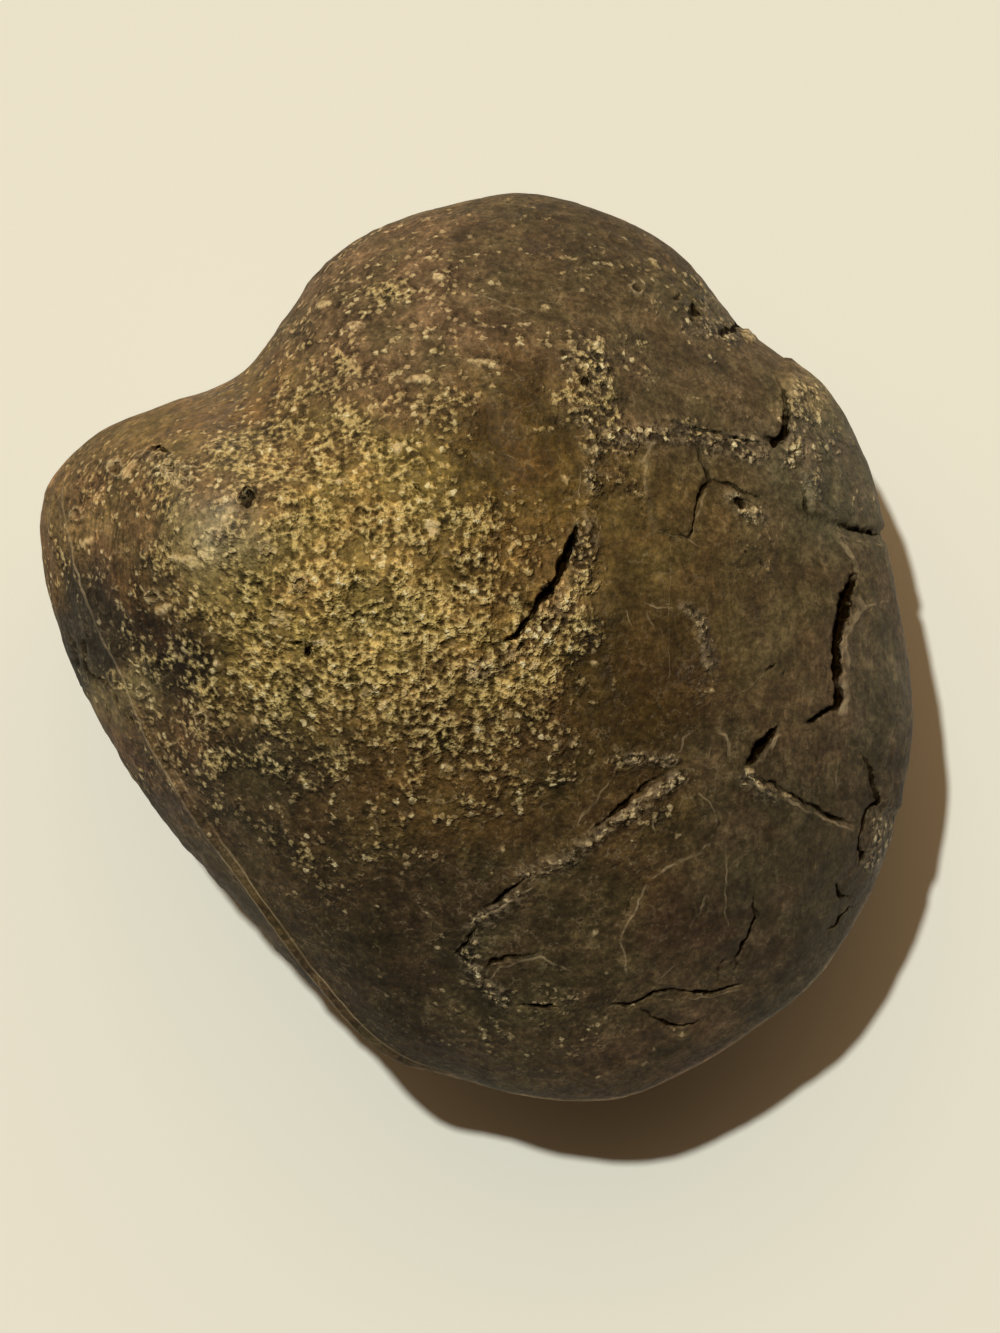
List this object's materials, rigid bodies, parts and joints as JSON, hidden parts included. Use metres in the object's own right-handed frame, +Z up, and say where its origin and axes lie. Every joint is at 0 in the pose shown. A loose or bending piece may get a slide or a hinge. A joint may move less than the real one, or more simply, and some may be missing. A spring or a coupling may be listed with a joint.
{
  "type": "fossil clam",
  "caption": "Whole fossil clam, two closed valves turned to one lopsided dark brown stone with cracks and patches of shell, lying on one valve.",
  "frame": {"origin": "centre of the bounding box in plan, at the height of the flat worn spot that it rests on", "axes": "+Z up, with the fossil lying on its lower valve; +Y along its longest extent; the beaks point toward -X and +Y"},
  "size_m": [0.0694, 0.0724, 0.0404],
  "materials": {
    "fossil_stone": "worn semi-gloss stone: grainy ochre over the crown, smooth dark olive brown and grey plates of fossil shell at the margins"
  },
  "bodies": {
    "root": {"fossil_clam": "fossil_stone"}
  },
  "joints": []
}
